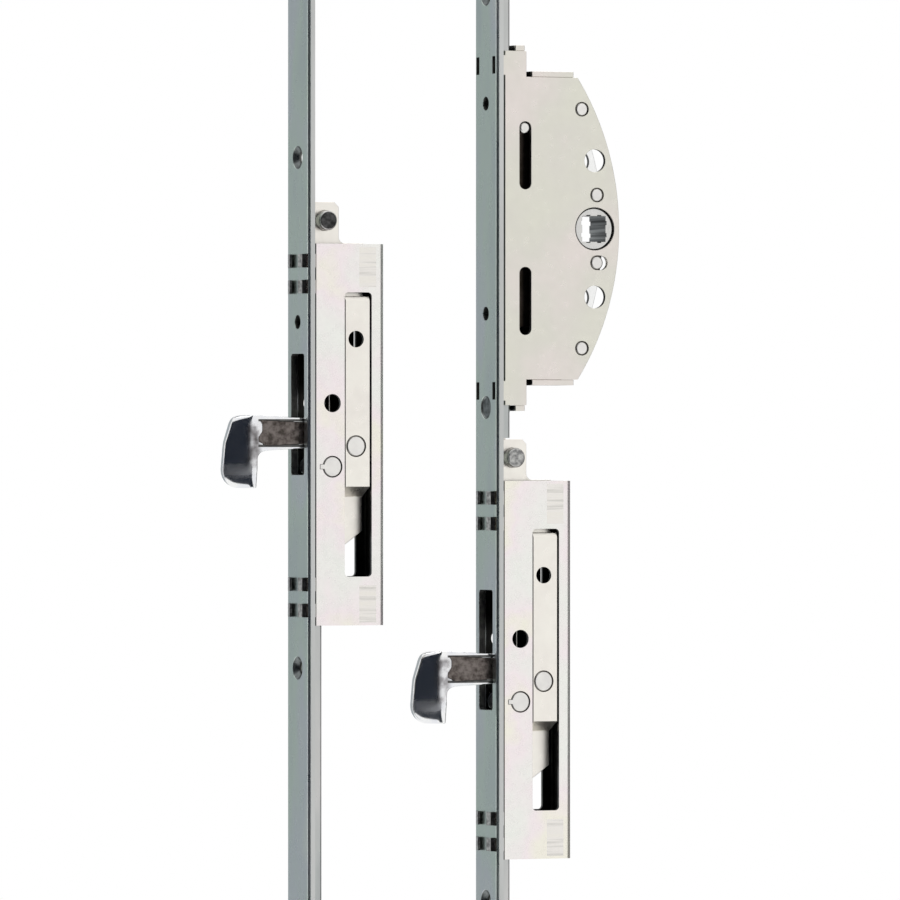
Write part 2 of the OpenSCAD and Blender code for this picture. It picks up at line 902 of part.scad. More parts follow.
// Slider: two plates flush in the windows, joined at top and bottom
module slider() {
    color([0.91, 0.89, 0.88])
        difference() {
            union() {
                for (y = [-half_t, sheet_in])
                    across(y, y + sheet_t)
                        translate([slider_x, -slider_down])
                            square([slider_w, slider_up + slider_down]);
                across(-half_t, half_t)
                    translate([slider_x, slider_up - 1.5])
                        square([slider_w, 1.5]);
                // The bottom bridge slopes in from the plates to the tongue
                along(slider_x, slider_back)
                    polygon([
                        [-tongue_t / 2, slope_foot], [tongue_t / 2, slope_foot],
                        [half_t, -slider_down], [half_t, weld - slider_down],
                        [-half_t, weld - slider_down], [-half_t, -slider_down]
                    ]);
            }
            // Bevel of the bent top edge
            for (s = [-1, 1])
                along(slider_x - cut, slider_back + cut)
                    polygon([
                        [s * (half_t - 0.8), slider_up + cut],
                        [s * (half_t - 0.8), slider_up],
                        [s * half_t, slider_up - 1.2],
                        [s * (half_t + cut), slider_up - 1.2],
                        [s * (half_t + cut), slider_up + cut]
                    ]);
            pin(pivot_x + drive_x, drive_up, drive_head_d + 2 * fit, -half_t - cut, half_t + cut);
            pin(pivot_x + drive_x, slider_hole_up, slider_hole_d, -half_t - cut, half_t + cut);
        }
}

module slider_pin() {
    color([0.87, 0.86, 0.85]) {
        pin(pivot_x + drive_x, drive_up, drive_d, -sheet_in - weld, sheet_in + weld);
        for (y = [-half_t, half_t])
            round_end(pivot_x + drive_x, drive_up, drive_head_d, y, sheet_t);
    }
}

// Arm: stands on the slider and carries the stroke up past the hook
module slider_arm(nib) {
    ear_back = rail_front + ear_w;
    r = 2;
    bevel = 1.5;
    color([0.88, 0.87, 0.85])
        difference() {
            union() {
                across(-arm_t / 2, arm_t / 2) {
                    translate([rail_front, slider_up])
                        square([slider_back - rail_front, ear_foot - slider_up]);
                    polygon([
                        [rail_front, ear_foot - cut], [ear_back, ear_foot - cut],
                        [ear_back, ear_top - bevel], [ear_back - bevel, ear_top],
                        [rail_front, ear_top]
                    ]);
                    difference() {
                        translate([ear_back - cut, ear_foot - cut])
                            square(r + cut);
                        translate([ear_back + r, ear_foot + r])
                            circle(r);
                    }
                }
                if (nib)
                    across(-nib_t / 2, nib_t / 2)
                        translate([rail_front + 0.4, ear_top - weld])
                            square([rail_t - 0.4, nib_h + weld]);
            }
            pin(rail_front + ear_pin_x, guide_pin_z, ear_pin_d + 2 * seat, -half_t, half_t);
        }
}

// Guide pin: runs down between the sheets of the case
module guide_pin() {
    reach = sheet_in - 0.2;
    color([0.42, 0.41, 0.40])
        bevelled_pin(rail_front + ear_pin_x, guide_pin_z, ear_pin_d, reach);
}

// Tongue: hangs from the slider and drives the rail below the hook
module slider_tongue() {
    color([0.88, 0.86, 0.86])
        across(-tongue_t / 2, tongue_t / 2) {
            polygon([
                [rail_back, slope_foot - tongue_front_h],
                [slider_x + 2.4, slope_foot - tongue_back_h - 4.1],
                [slider_back, slope_foot - tongue_back_h],
                [slider_back, slope_foot], [rail_back, slope_foot]
            ]);
            translate([rail_front + 0.4, lug_foot])
                square([rail_t + cut, lug_top - lug_foot]);
        }
}

// Hook, drawn from its pivot with the nose towards the keep
module hook_side() {
    arm_foot = hook_top - hook_arm_h;
    face = -pivot_x;
    difference() {
        union() {
            // Arm, narrowing a little towards the pivot
            polygon([
                [-nose_in, hook_top], [-nose_in, arm_foot],
                [face, arm_foot + hook_taper], [0, arm_foot + hook_taper],
                polar(tail_r - 4, fork_angle), [3, hook_top - hook_taper],
                [face, hook_top - hook_taper]
            ]);
            circle(hook_hub_r);
            // Prongs of the fork, ended by an arc about the pivot
            intersection() {
                circle(tail_r);
                rotate(fork_angle)
                    translate([0, -fork_shift - fork_half - prong_t])
                        square([tail_r, 2 * (fork_half + prong_t)]);
            }
            // Fillet under the arm
            translate([-nose_in, arm_foot - hook_fillet])
                difference() {
                    translate([-cut, 0])
                        square([hook_fillet + cut, hook_fillet + 0.2]);
                    translate([hook_fillet, 0])
                        circle(hook_fillet);
                }
        }
        circle(d = pivot_d + 2 * fit);
        rotate(fork_angle) {
            translate([drive_x, -fork_shift])
                circle(fork_half);
            translate([drive_x, -fork_shift - fork_half])
                square([tail_r, 2 * fork_half]);
        }
    }
}

// Nose: full thickness at its inner land, drawn in to the outer edge
module hook_nose() {
    top_r = 3.4;
    low_r = 5.6;
    mid_r = 5;
    mid_angle = 168;
    top_c = [-sqrt(pow(nose_r - top_r, 2) - pow(hook_top - top_r, 2)), hook_top - top_r];
    low_c = [-sqrt(pow(nose_r - low_r, 2) - pow(low_r - nose_down, 2)), low_r - nose_down];
    mid_c = polar(nose_r - mid_r, mid_angle);
    land_foot = -0.2;
    hull() {
        pin(top_c[0], top_c[1], 2 * top_r, -nose_edge_t / 2, nose_edge_t / 2, $fn = 32);
        pin(mid_c[0], mid_c[1], 2 * mid_r, -nose_edge_t / 2, nose_edge_t / 2, $fn = 32);
        pin(low_c[0], low_c[1], 2 * low_r, -nose_edge_t / 2, nose_edge_t / 2, $fn = 32);
        across(-nose_tip_t / 2, nose_tip_t / 2)
            translate([-nose_in - 1, -nose_down])
                square([1, 1]);
        across(-hook_t / 2, hook_t / 2)
            translate([-nose_in - land_w, land_foot])
                square([land_w, hook_top - land_foot]);
    }
}

// Cast panel sunk in each side of the arm, hollowed round a boss
module hook_panel() {
    arm_foot = hook_top - hook_arm_h;
    boss_at = [-nose_in - 1.7, hook_top - 4];
    boss_r = 2.8;
    difference() {
        polygon([
            [-nose_in + 0.4, hook_top - panel_rim],
            [-nose_in + 0.4, arm_foot + panel_rim + 1.6],
            [-nose_in + 3, arm_foot + panel_rim + 0.2],
            [-hook_hub_r, arm_foot + hook_taper + panel_rim],
            [-hook_hub_r, hook_top - hook_taper - panel_rim]
        ]);
        translate(boss_at)
            circle(boss_r + 0.7);
    }
}

module hook() {
    color([0.50, 0.47, 0.45])
        translate([pivot_x, 0, 0])
            difference() {
                union() {
                    across(-hook_t / 2, hook_t / 2)
                        hook_side();
                    hook_nose();
                }
                for (y = [-hook_t / 2 - cut, hook_t / 2 - panel_in])
                    across(y, y + panel_in + cut)
                        hook_panel();
            }
}

module main_hook_case() { at_main_pivot() hook_case(); }
module main_hook_pivot() { at_main_pivot() hook_pivot(); }
module main_hook() { at_main_pivot() hook(); }
module main_slider() { at_main_pivot() slider(); }
module main_slider_pin() { at_main_pivot() slider_pin(); }
module main_slider_arm() { at_main_pivot() slider_arm(true); }
module main_guide_pin() { at_main_pivot() guide_pin(); }
module main_slider_tongue() { at_main_pivot() slider_tongue(); }
module top_hook_case() { at_top_pivot() hook_case(); }
module top_hook_pivot() { at_top_pivot() hook_pivot(); }
module top_hook() { at_top_pivot() hook(); }
module top_slider() { at_top_pivot() slider(); }
module top_slider_pin() { at_top_pivot() slider_pin(); }
module top_slider_arm() { at_top_pivot() slider_arm(false); }
module top_guide_pin() { at_top_pivot() guide_pin(); }
module top_slider_tongue() { at_top_pivot() slider_tongue(); }

main_forend();
gearbox_cover();
gearbox_case();
gearbox_rivets();
gearbox_spacers();
follower();
rack();
rack_pin();
main_rail_upper();
main_rail_lower();
rail_guide_rivet();
main_hook_case();
main_hook_pivot();
main_hook();
main_slider();
main_slider_pin();
main_slider_arm();
main_guide_pin();
main_slider_tongue();
top_forend();
top_rail();
top_hook_case();
top_hook_pivot();
top_hook();
top_slider();
top_slider_pin();
top_slider_arm();
top_guide_pin();
top_slider_tongue();
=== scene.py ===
# %% [markdown]
# # Looks for a window espagnolette
# The imported part brings every steel piece in its true size and place.
# This lesson gives those pieces the finish that the plating works gave the
# real ones, tells punched walls, painted darker as shade, and the insides,
# painted nearly black as shade, from the bright sheet, and breaks the sharp
# edges. It stands a rounded casting in for each of the two hooks and adds a
# thin land to each hook case. Nothing here changes where a piece sits.

# %% Load the imported part
import json
import math
import bmesh
import bpy
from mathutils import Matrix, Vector


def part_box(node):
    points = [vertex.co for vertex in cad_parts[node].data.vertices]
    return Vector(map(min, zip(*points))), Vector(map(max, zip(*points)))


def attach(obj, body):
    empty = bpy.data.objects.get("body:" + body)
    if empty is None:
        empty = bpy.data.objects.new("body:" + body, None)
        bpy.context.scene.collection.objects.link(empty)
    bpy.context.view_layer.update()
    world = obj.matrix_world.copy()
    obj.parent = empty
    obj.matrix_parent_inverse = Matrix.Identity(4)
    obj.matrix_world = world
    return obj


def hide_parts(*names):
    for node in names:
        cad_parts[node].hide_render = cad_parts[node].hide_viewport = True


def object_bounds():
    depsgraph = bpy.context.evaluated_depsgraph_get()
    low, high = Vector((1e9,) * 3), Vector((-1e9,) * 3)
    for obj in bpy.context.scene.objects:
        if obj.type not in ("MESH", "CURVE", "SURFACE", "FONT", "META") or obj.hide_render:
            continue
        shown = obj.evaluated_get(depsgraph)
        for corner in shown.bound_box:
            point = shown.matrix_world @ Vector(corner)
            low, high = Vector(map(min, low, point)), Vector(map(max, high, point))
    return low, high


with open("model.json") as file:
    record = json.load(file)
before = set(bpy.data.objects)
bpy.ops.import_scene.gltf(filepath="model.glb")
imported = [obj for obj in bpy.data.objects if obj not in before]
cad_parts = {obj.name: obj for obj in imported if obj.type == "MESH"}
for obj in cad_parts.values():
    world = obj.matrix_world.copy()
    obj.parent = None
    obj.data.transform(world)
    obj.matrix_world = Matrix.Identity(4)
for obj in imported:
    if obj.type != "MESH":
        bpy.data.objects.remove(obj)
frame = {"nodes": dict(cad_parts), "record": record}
box_of_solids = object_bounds()
nodes = frame["nodes"]
MM = 0.001

# %% [markdown]
# ## Camera
# The photograph was taken with a long lens, level with the part and about 25
# degrees round from its flat side. A long lens keeps the upright lines
# parallel, so the camera stands three metres away.

# %% Place the camera
VIEW_TURN = math.radians(25.25)
AIM = Vector((-47.46 * MM, 0, -69.8 * MM))
CAMERA_AWAY = 3.0
LENS_MM = 382
SENSOR_MM = 36
look = Vector((math.sin(VIEW_TURN), math.cos(VIEW_TURN), 0))
lens = bpy.data.cameras.new("camera")
lens.lens = LENS_MM
lens.sensor_width = SENSOR_MM
camera = bpy.data.objects.new("camera", lens)
camera.location = AIM - CAMERA_AWAY * look
camera.rotation_euler = look.to_track_quat("-Z", "Y").to_euler()
bpy.context.scene.collection.objects.link(camera)
bpy.context.scene.camera = camera
bpy.context.scene.view_settings.view_transform = "Standard"
print("camera at", [round(c, 3) for c in camera.location])

# %% [markdown]
# ## Stage
# Plated steel shows its surroundings more than its own colour, so the stage
# matters as much as the materials. The world is white, and the floor is a
# plain white sheet. Round the part stand cards that only reflections see: a
# grey one behind on the left, which the forends' faces mirror, a nearly black
# one round the camera and a dark grey one on the right, which turn the rounded
# edges dark, and a dark level one above, for what slants upwards. Each upright
# card is a line that a spin sweeps part of the way round.


# %% Helpers for node trees
def new_tree(owner):
    owner.use_nodes = True
    tree = owner.node_tree
    tree.nodes.clear()
    return tree


def add(tree, kind, inputs=None, **settings):
    node = tree.nodes.new(kind)
    for name, value in settings.items():
        setattr(node, name, value)
    for name, value in (inputs or {}).items():
        node.inputs[name].default_value = value
    return node


def join(tree, out_node, out_name, in_node, in_name):
    tree.links.new(out_node.outputs[out_name], in_node.inputs[in_name])


# %% White world
# What lights the part is weaker than what it mirrors, so pale steel keeps its
# tint and still shows a white room
MIRRORED_STRENGTH = 1.0
LIGHTING_STRENGTH = 0.7
WHITE = (1, 1, 1, 1)


def camera_gloss_or_glass(tree):
    """1 for the rays that should see a white studio, 0 for the others."""
    path = add(tree, "ShaderNodeLightPath")
    camera_or_gloss = add(tree, "ShaderNodeMath", operation="MAXIMUM")
    any_of_three = add(tree, "ShaderNodeMath", operation="MAXIMUM")
    join(tree, path, "Is Camera Ray", camera_or_gloss, 0)
    join(tree, path, "Is Glossy Ray", camera_or_gloss, 1)
    join(tree, camera_or_gloss, 0, any_of_three, 0)
    join(tree, path, "Is Transmission Ray", any_of_three, 1)
    return any_of_three


world = bpy.data.worlds.new("studio")
bpy.context.scene.world = world
sky = new_tree(world)
mirrored = add(sky, "ShaderNodeBackground", {"Color": WHITE, "Strength": MIRRORED_STRENGTH})
lighting = add(sky, "ShaderNodeBackground", {"Color": WHITE, "Strength": LIGHTING_STRENGTH})
either = add(sky, "ShaderNodeMixShader")
sky_out = add(sky, "ShaderNodeOutputWorld")
join(sky, camera_gloss_or_glass(sky), 0, either, "Fac")
join(sky, lighting, 0, either, 1)
join(sky, mirrored, 0, either, 2)
join(sky, either, 0, sky_out, "Surface")
print("world: white for camera and gloss")


# %% Helpers for sheets and cards
def to_object(bm, name):
    mesh = bpy.data.meshes.new(name)
    bm.to_mesh(mesh)
    bm.free()
    made = bpy.data.objects.new(name, mesh)
    bpy.context.scene.collection.objects.link(made)
    return made


def plain(name, colour, glow=False):
    material = bpy.data.materials.new(name)
    tree = new_tree(material)
    out = add(tree, "ShaderNodeOutputMaterial")
    kind = "ShaderNodeEmission" if glow else "ShaderNodeBsdfDiffuse"
    shader = add(tree, kind, {"Color": (*colour, 1)})
    join(tree, shader, 0, out, "Surface")
    return material


def level_sheet(name, centre, half_size, material):
    bm = bmesh.new()
    bmesh.ops.create_grid(bm, x_segments=1, y_segments=1, size=half_size)
    bmesh.ops.translate(bm, vec=centre, verts=bm.verts)
    sheet = to_object(bm, name)
    sheet.data.materials.append(material)
    return sheet


# %% Floor
FLOOR_HALF_SIZE = 0.8
FLOOR_GAP = 2 * MM
FLOOR_COLOUR = (0.9, 0.9, 0.9)
floor_z = box_of_solids[0][2] - FLOOR_GAP
floor = level_sheet("floor", (AIM.x, 0, floor_z), FLOOR_HALF_SIZE,
                    plain("floor_white", FLOOR_COLOUR))
# Mirrored so close by, it would lighten the lower half of every upright edge
floor.visible_glossy = False
print("floor at", round(floor_z, 4))

# %% Cards that only reflections see
CARD_AWAY = 2.2
CARD_HALF_HEIGHT = 1.6
CARD_STEPS = 12
# Each has its first and last angle, from straight left of the part towards the
# viewer's side, and its colour
UPRIGHT_CARDS = {
    "card_grey_back": (-92, -36, (0.41, 0.44, 0.455)),
    "card_dark_front": (-12, 99, (0.02, 0.024, 0.033)),
    "card_grey_right": (140, 226, (0.22, 0.22, 0.22)),
}
ABOVE_BEHIND = 1.3
ABOVE_HEIGHT = 1.9
ABOVE_HALF_SIZE = 1.1
ABOVE_COLOUR = (0.08, 0.08, 0.08)


def upright_card(name, first, last, colour):
    bm = bmesh.new()
    start = math.radians(first)
    foot = AIM - CARD_AWAY * Vector((math.cos(start), math.sin(start), 0))
    low = bm.verts.new(foot - Vector((0, 0, CARD_HALF_HEIGHT)))
    high = bm.verts.new(foot + Vector((0, 0, CARD_HALF_HEIGHT)))
    line = bm.edges.new((low, high))
    bmesh.ops.spin(bm, geom=[low, high, line], cent=AIM, axis=(0, 0, 1),
                   angle=math.radians(last - first), steps=CARD_STEPS, use_merge=False)
    card = to_object(bm, name)
    card.data.materials.append(plain(name, colour, glow=True))
    return card


cards = [upright_card(name, *card) for name, card in UPRIGHT_CARDS.items()]
above = AIM + ABOVE_BEHIND * look
cards.append(level_sheet("card_above", (above.x, above.y, ABOVE_HEIGHT), ABOVE_HALF_SIZE,
                         plain("card_above", ABOVE_COLOUR, glow=True)))
for card in cards:
    card.visible_camera = False
    card.visible_diffuse = False
    card.visible_shadow = False
    card.visible_transmission = False
print("cards:", [card.name for card in cards])


# %% Lamps
# Each has its place, the side of its square and its power in watts
LAMPS = {
    "lamp_top": ((-0.2, 0.4, 1.9), 1.2, 8),
    "lamp_back": ((0.9, 1.2, 1.2), 1.0, 6),
}


def soft_lamp(name, place, side, watts):
    data = bpy.data.lights.new(name, "AREA")
    data.shape = "SQUARE"
    data.size = side
    data.energy = watts
    lamp = bpy.data.objects.new(name, data)
    lamp.location = place
    lamp.rotation_euler = (AIM - Vector(place)).to_track_quat("-Z", "Y").to_euler()
    bpy.context.scene.collection.objects.link(lamp)
    return lamp


lamps = [soft_lamp(name, *lamp) for name, lamp in LAMPS.items()]
print("lamps:", [lamp.name for lamp in lamps])

# %% [markdown]
# ## Plated steel
# Zinc plating is a thin bright skin on sheet steel. Its clear passivation
# shows faint clouds of yellow, pink and green, and the sheet under it keeps
# fine rolling marks. Clouds of noise choose between the tints, a finer noise
# varies the gloss, and a very fine one gives the surface its tooth.


# %% Where a piece is measured from
# Every zone below is given in millimetres from the forend's face and from
# the hook's pivot, because both lengths are made from the same drawings.
LENGTHS = ("main", "top")


def middle_z(node):
    return sum(corner.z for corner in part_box(node)) / 2 / MM


face_x = {length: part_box(length + "_forend")[0].x / MM for length in LENGTHS}
pivot_z = {length: middle_z(length + "_hook_pivot") for length in LENGTHS}
for length in LENGTHS:
    print(length, "face at x", round(face_x[length], 2),
          "and pivot at z", round(pivot_z[length], 2))

# %% [markdown]
# ## Zones on one solid
# A punched wall is torn and duller than the plated face beside it, and is
# painted darker still as shade, and the sheet inside a case gets no light, so
# it is painted nearly black as shade. The solids must stay as they were packed,
# so their faces aren't given materials one by one.
# Instead each material works out where a point lies, in the piece's own
# coordinates, and mixes in a dull finish inside the boxes listed for it. A
# box's border is sharp, as at the wall of a hole, or fades over a few
# millimetres, as where the grinding of a casting runs out.


# %% Helpers for zones
def between(tree, axis, low, high, fade):
    """1 from low to high and 0 outside, with a border that fades inwards."""
    middle = (low + high) / 2
    half = (high - low) / 2
    if not fade:
        test = add(tree, "ShaderNodeMath", {1: middle, 2: half}, operation="COMPARE")
        tree.links.new(axis, test.inputs[0])
        return test.outputs[0]
    away = add(tree, "ShaderNodeMath", {1: middle}, operation="SUBTRACT")
    tree.links.new(axis, away.inputs[0])
    off = add(tree, "ShaderNodeMath", operation="ABSOLUTE")
    join(tree, away, 0, off, 0)
    border = add(tree, "ShaderNodeMapRange",
                 {"From Min": half - fade, "From Max": half, "To Min": 1, "To Max": 0},
                 interpolation_type="SMOOTHSTEP")
    join(tree, off, 0, border, "Value")
    return border.outputs["Result"]


def pair(tree, operation, first, second):
    node = add(tree, "ShaderNodeMath", operation=operation)
    tree.links.new(first, node.inputs[0])
    tree.links.new(second, node.inputs[1])
    return node.outputs[0]


def piece_axes(tree, place, length):
    """x from the face, distance y from the middle and z from the pivot, in millimetres."""
    local = add(tree, "ShaderNodeMapping",
                {"Location": (-face_x[length], 0, -pivot_z[length]),
                 "Scale": (1 / MM, 1 / MM, 1 / MM)})
    join(tree, place, "Object", local, "Vector")
    parts = add(tree, "ShaderNodeSeparateXYZ")
    join(tree, local, "Vector", parts, "Vector")
    sideways = add(tree, "ShaderNodeMath", operation="ABSOLUTE")
    join(tree, parts, "Y", sideways, 0)
    return {"x": parts.outputs["X"], "y": sideways.outputs[0], "z": parts.outputs["Z"]}


def zone(fade=0, **ranges):
    """A box with a range on some of the axes x, y and z, and the width of its fading border."""
    return {"fade": fade, **ranges}


def zone_mask(tree, axes, boxes):
    """1 inside any of the boxes and 0 outside."""
    mask = None
    for box in boxes:
        inside = None
        for letter in sorted(axes.keys() & box.keys()):
            test = between(tree, axes[letter], *box[letter], box["fade"])
            inside = pair(tree, "MULTIPLY", inside, test) if inside else test
        mask = pair(tree, "MAXIMUM", mask, inside) if mask else inside
    return mask


# %% Clouds of tints
CLOUD_DETAIL = 3.0
# Noise seldom leaves the middle of its range, so the tints share that part
FIRST_TINT_AT = 0.36
TINTS_SPAN = 0.28


def noise_tint(tree, source, cloud_mm, tints):
    clouds = add(tree, "ShaderNodeTexNoise",
                 {"Scale": 1 / (cloud_mm * MM), "Detail": CLOUD_DETAIL})
    join(tree, source, "Vector", clouds, "Vector")
    ramp = add(tree, "ShaderNodeValToRGB")
    marks = ramp.color_ramp.elements
    while len(marks) < len(tints):
        marks.new(0.5)
    for i, tint in enumerate(tints):
        marks[i].position = FIRST_TINT_AT + TINTS_SPAN * i / (len(tints) - 1)
        marks[i].color = (*tint, 1)
    join(tree, clouds, "Fac", ramp, "Fac")
    return ramp.outputs["Color"]


# %% [markdown]
# ## Dull finishes
# Each way of working the steel leaves its own surface. A punch tears the wall
# of a hole, which is painted darker still as shade, shears leave an upright
# grain, a broach draws streaks along the square hole, and a press leaves marks
# across the sheet. Painted shade, nearly black, fills the insides and the gaps.
# It is painted too on screws' cones, rivets' rims and beside the tabs, and the
# tabs' ends are speckled and partly painted shade. Painted light brightens the
# gearbox's back round its screws. The casting is brown and coarse where no
# wheel has reached it, satin low on the nose where the wheel ran out, and has
# painted glints and shade where the nose meets the arm. A flat colour would
# look painted, so every finish is two or three tints in spots, and the spots
# are drawn out the way the tool went.

# %% Dull finishes for the zones
# Each has its tints, the size of its spots in millimetres, its roughness, and
# how the spots are stretched: a small number draws them out along that axis
EVEN = (1, 1, 1)
ALONG_HOLE = (0.02, 0.02, 1)
ACROSS_SHEET = (0.03, 0.03, 1)
UPRIGHT = (1, 1, 0.1)
DULL = {
    # Torn hole walls, painted darker still as shade
    "punched": ([(0.10, 0.10, 0.10), (0.17, 0.17, 0.16)], 2, 0.48, EVEN),
    # Painted shade on the rim of a rivet's head
    "bevelled": ([(0.22, 0.21, 0.20), (0.36, 0.35, 0.33)], 2, 0.42, EVEN),
    # The cut cone of a screw's hole, painted darker as shade
    "sunk": ([(0.10, 0.11, 0.11), (0.24, 0.26, 0.26)], 1.6, 0.36, EVEN),
    # Nearly black: painted shade inside the cases, the slider and the gearbox, and along the
    # cases' front edges
    "greasy": ([(0.02, 0.02, 0.02), (0.05, 0.05, 0.045)], 6, 0.42, EVEN),
    # Near black: painted shade beside the tabs' ends
    "hammered": ([(0.03, 0.03, 0.03), (0.09, 0.09, 0.09)], 1.5, 0.42, EVEN),
    # Speckled dark and mid grey, partly painted shade, on tab ends and the main guide pin's end
    "mottled": ([(0.22, 0.22, 0.22), (0.58, 0.58, 0.56)], 1.2, 0.36, EVEN),
    # Brighter than the gearbox plate: painted light on the back inside the gearbox
    "wiped": ([(0.90, 0.90, 0.89), (0.94, 0.94, 0.93)], 5, 0.28, EVEN),
    "cast": ([(0.10, 0.085, 0.075), (0.21, 0.18, 0.165), (0.30, 0.265, 0.245)],
             1.5, 0.55, EVEN),
    "satin": ([(0.70, 0.71, 0.74), (0.84, 0.84, 0.83)], 5, 0.36, EVEN),
    # Painted glints and painted shade in patches where the hook's nose meets the arm
    "unground": ([(0.14, 0.13, 0.13), (0.40, 0.39, 0.40), (0.84, 0.84, 0.85)],
                 4.5, 0.3, EVEN),
    # Near-black tints for the top length's guide pin end
    "blackened": ([(0.03, 0.03, 0.03), (0.10, 0.10, 0.10)], 1.5, 0.38, EVEN),
    "broached": ([(0.05, 0.05, 0.05), (0.24, 0.24, 0.24), (0.62, 0.62, 0.61)],
                 1.7, 0.34, ALONG_HOLE),
    "pressed": ([(0.86, 0.83, 0.77), (0.86, 0.83, 0.79), (0.70, 0.68, 0.64)],
                1.1, 0.27, ACROSS_SHEET),
    "sheared": ([(0.52, 0.53, 0.52), (0.60, 0.61, 0.60)], 8, 0.30, UPRIGHT),
}
print("dull finishes:", len(DULL))

# %% Mix the dull finishes in
# A Mix node keeps its own sockets for each kind of data: the numbers of its two
# inputs and of its result
MIX_SOCKETS = {"FLOAT": (2, 3, 0), "RGBA": (6, 7, 2)}


def mix(tree, kind, mask, first, second):
    """first where the mask is 0 and second, a number or another socket, where it is 1."""
    node = add(tree, "ShaderNodeMix", data_type=kind)
    first_at, second_at, result_at = MIX_SOCKETS[kind]
    tree.links.new(mask, node.inputs[0])
    tree.links.new(first, node.inputs[first_at])
    if isinstance(second, float):
        node.inputs[second_at].default_value = second
    else:
        tree.links.new(second, node.inputs[second_at])
    return node.outputs[result_at]


def dull_the_zones(tree, place, length, zones, colour, roughness):
    """The sockets for colour and roughness, with each zone's finish mixed in."""
    axes = piece_axes(tree, place, length)
    for finish, boxes in zones:
        tints, spot_mm, dull_roughness, drawn = DULL[finish]
        spots = add(tree, "ShaderNodeMapping", {"Scale": drawn})
        join(tree, place, "Object", spots, "Vector")
        mask = zone_mask(tree, axes, boxes)
        colour = mix(tree, "RGBA", mask, colour, noise_tint(tree, spots, spot_mm, tints))
        roughness = mix(tree, "FLOAT", mask, roughness, dull_roughness)
    return colour, roughness


# %% A recipe for plated steel
PLATED_ROUGHNESS = (0.27, 0.32)
# Noise runs between these, and the roughness between its two limits with it
GLOSS_NOISE = (0.3, 0.7)
GLOSS_SCALE = 420.0
GLOSS_DETAIL = 4.0
TOOTH_SCALE = 2600.0
TOOTH_DETAIL = 2.0
TOOTH_STRENGTH = 0.02
TOOTH_HEIGHT = 0.03 * MM


def steel(name, length, tints, cloud_mm, rough=PLATED_ROUGHNESS, grain=EVEN, zones=()):
    material = bpy.data.materials.new(name)
    tree = new_tree(material)
    out = add(tree, "ShaderNodeOutputMaterial")
    skin = add(tree, "ShaderNodeBsdfPrincipled", {"Metallic": 1.0})
    join(tree, skin, "BSDF", out, "Surface")
    place = add(tree, "ShaderNodeTexCoord")
    stretch = add(tree, "ShaderNodeMapping", {"Scale": grain})
    join(tree, place, "Object", stretch, "Vector")
    colour = noise_tint(tree, stretch, cloud_mm, tints)
    gloss = add(tree, "ShaderNodeTexNoise", {"Scale": GLOSS_SCALE, "Detail": GLOSS_DETAIL})
    join(tree, stretch, "Vector", gloss, "Vector")
    spread = add(tree, "ShaderNodeMapRange",
                 {"From Min": GLOSS_NOISE[0], "From Max": GLOSS_NOISE[1],
                  "To Min": rough[0], "To Max": rough[1]})
    join(tree, gloss, "Fac", spread, "Value")
    roughness = spread.outputs["Result"]
    if zones:
        colour, roughness = dull_the_zones(tree, place, length, zones, colour, roughness)
    tree.links.new(colour, skin.inputs["Base Color"])
    tree.links.new(roughness, skin.inputs["Roughness"])
    tooth = add(tree, "ShaderNodeTexNoise", {"Scale": TOOTH_SCALE, "Detail": TOOTH_DETAIL})
    join(tree, stretch, "Vector", tooth, "Vector")
    bump = add(tree, "ShaderNodeBump", {"Strength": TOOTH_STRENGTH, "Distance": TOOTH_HEIGHT})
    join(tree, tooth, "Fac", bump, "Height")
    join(tree, bump, "Normal", skin, "Normal")
    return material


# %% [markdown]
# ## Where the zones lie
# Punched walls lie between a sheet's two faces. One slab that ends just under
# the outer face takes in the walls of all the holes, and leaves that face and
# its rounded edges bright. In the same way one box takes in the whole inside of
# a case. The heights of single holes are listed only where a hole differs from
# its neighbours, such as a screw's cone in the forend.

# %% Ranges that the zones share
# x runs back from the face, y is the distance from the middle plane and z
# runs up from the hook's pivot, or from the main length's pivot for the gearbox
HUB_Z = -pivot_z["main"]
# y is never negative, so a range that starts here takes in the middle plane
MIDDLE = -1


def around(z, reach):
    return (z - reach, z + reach)


def beside_hub(near, far):
    """The range below the gearbox's hub and the one as far above it."""
    return ((HUB_Z - far, HUB_Z - near), (HUB_Z + near, HUB_Z + far))


# %% Zones of a forend
PLAIN_HOLES = {"main": (HUB_Z + 39.2, HUB_Z - 26.9), "top": (45.1,)}
SUNK_HOLES = {"main": (HUB_Z + 73.6, HUB_Z - 56.4, -62.8), "top": (179, 96.4, -62.8)}
PLAIN_RADIUS = 2.5
SUNK_RADIUS = 3.8
# A screw's hole is a cone down to the first depth and a bore down to the second
CONE_DEPTH = 1.62
HOLE_DEPTH = 2.3
THROUGH = (0.22, HOLE_DEPTH)
# The tab pockets, the hook's slot, the bores and the plain holes are torn walls, painted darker
# as shade
TAB_POCKETS = zone(x=THROUGH, y=(4.5, 7.6))
HOOK_SLOT = zone(x=THROUGH, y=(MIDDLE, 5.1), z=(-3.2, 36))
BORES = zone(x=(CONE_DEPTH, HOLE_DEPTH), y=(MIDDLE, 5.1))
LONG_EDGES = zone(x=(0.9, 2.5), y=(7.7, 8.1))


def forend_zones(length):
    plain_holes = [zone(x=THROUGH, y=(MIDDLE, PLAIN_RADIUS), z=around(z, PLAIN_RADIUS))
                   for z in PLAIN_HOLES[length]]
    # The screws' cones are painted darker as shade
    cones = [zone(x=(0.1, CONE_DEPTH), y=(MIDDLE, SUNK_RADIUS), z=around(z, SUNK_RADIUS))
             for z in SUNK_HOLES[length]]
    return [("punched", [TAB_POCKETS, HOOK_SLOT, BORES] + plain_holes),
            ("sunk", cones),
            ("sheared", [LONG_EDGES])]


